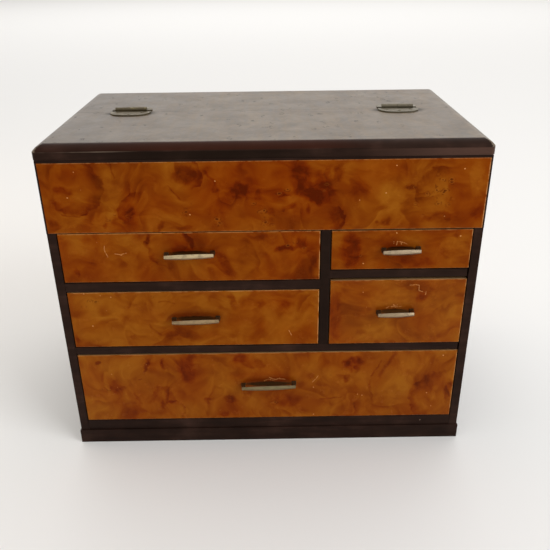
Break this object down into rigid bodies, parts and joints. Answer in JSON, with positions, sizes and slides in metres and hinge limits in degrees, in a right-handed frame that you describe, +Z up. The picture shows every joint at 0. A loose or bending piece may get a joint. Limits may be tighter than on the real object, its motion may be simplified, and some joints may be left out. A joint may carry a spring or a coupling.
{
  "type": "jewellery chest with drawers",
  "caption": "Tabletop wooden chest with a row-stacked set of small drawers in burl veneer, bar pulls, and a shallow compartment under a hinged split top.",
  "frame": {"origin": "on the surface that the chest stands on, under the middle of the whole object with its pulls", "axes": "+X to the chest's right as seen from the front, +Y from the drawer fronts to the back, +Z up"},
  "size_m": [0.3016, 0.1882, 0.2461],
  "materials": {
    "burl_veneer": "glossy lacquered burl veneer, orange brown with darker swirls",
    "top_veneer": "worn glossy lacquer over dark burl veneer",
    "dark_lacquer": "very dark brown lacquered wood, satin gloss",
    "inner_wood": "plain planed softwood, unlacquered",
    "aged_brass": "aged brass, tarnished in the recesses",
    "steel_screw": "plain steel"
  },
  "bodies": {
    "case": {"plinth_front": "dark_lacquer", "plinth_back": "dark_lacquer", "plinth_left": "dark_lacquer", "plinth_right": "dark_lacquer", "base_board": "dark_lacquer", "side_left": "dark_lacquer", "side_right": "dark_lacquer", "back_panel": "inner_wood", "shelf_lower": "dark_lacquer", "shelf_left": "dark_lacquer", "shelf_right": "dark_lacquer", "divider": "dark_lacquer", "compartment_floor": "inner_wood", "compartment_front": "dark_lacquer", "compartment_veneer": "burl_veneer", "rear_top": "top_veneer", "hinge_left_rear_leaf": "aged_brass", "hinge_right_rear_leaf": "aged_brass", "hinge_left_pin": "aged_brass", "hinge_right_pin": "aged_brass", "rear_leaf_nails": "aged_brass"},
    "lid": {"lid_flap": "top_veneer", "hinge_left_front_leaf": "aged_brass", "hinge_right_front_leaf": "aged_brass", "flap_leaf_nails": "aged_brass"},
    "bottom_drawer": {"bottom_drawer_front": "burl_veneer", "bottom_drawer_side_left": "inner_wood", "bottom_drawer_side_right": "inner_wood", "bottom_drawer_back": "inner_wood", "bottom_drawer_bottom": "inner_wood", "bottom_drawer_pull": "aged_brass", "bottom_drawer_pull_screws": "steel_screw"},
    "lower_left_drawer": {"lower_left_drawer_front": "burl_veneer", "lower_left_drawer_side_left": "inner_wood", "lower_left_drawer_side_right": "inner_wood", "lower_left_drawer_back": "inner_wood", "lower_left_drawer_bottom": "inner_wood", "lower_left_drawer_pull": "aged_brass", "lower_left_drawer_pull_screws": "steel_screw"},
    "upper_left_drawer": {"upper_left_drawer_front": "burl_veneer", "upper_left_drawer_side_left": "inner_wood", "upper_left_drawer_side_right": "inner_wood", "upper_left_drawer_back": "inner_wood", "upper_left_drawer_bottom": "inner_wood", "upper_left_drawer_pull": "aged_brass", "upper_left_drawer_pull_screws": "steel_screw"},
    "lower_right_drawer": {"lower_right_drawer_front": "burl_veneer", "lower_right_drawer_side_left": "inner_wood", "lower_right_drawer_side_right": "inner_wood", "lower_right_drawer_back": "inner_wood", "lower_right_drawer_bottom": "inner_wood", "lower_right_drawer_pull": "aged_brass", "lower_right_drawer_pull_screws": "steel_screw"},
    "upper_right_drawer": {"upper_right_drawer_front": "burl_veneer", "upper_right_drawer_side_left": "inner_wood", "upper_right_drawer_side_right": "inner_wood", "upper_right_drawer_back": "inner_wood", "upper_right_drawer_bottom": "inner_wood", "upper_right_drawer_pull": "aged_brass", "upper_right_drawer_pull_screws": "steel_screw"}
  },
  "joints": [
    {"name": "lid_hinge", "type": "hinge", "parent": "case", "child": "lid", "pos_m": [0, 0.00975, 0.2444], "axis": [-1, 0, 0], "range_deg": [0, 175]},
    {"name": "bottom_drawer_slide", "type": "slide", "parent": "case", "child": "bottom_drawer", "axis": [0, -1, 0], "range_m": [0, 0.13]},
    {"name": "lower_left_drawer_slide", "type": "slide", "parent": "case", "child": "lower_left_drawer", "axis": [0, -1, 0], "range_m": [0, 0.13]},
    {"name": "upper_left_drawer_slide", "type": "slide", "parent": "case", "child": "upper_left_drawer", "axis": [0, -1, 0], "range_m": [0, 0.13]},
    {"name": "lower_right_drawer_slide", "type": "slide", "parent": "case", "child": "lower_right_drawer", "axis": [0, -1, 0], "range_m": [0, 0.13]},
    {"name": "upper_right_drawer_slide", "type": "slide", "parent": "case", "child": "upper_right_drawer", "axis": [0, -1, 0], "range_m": [0, 0.13]}
  ]
}
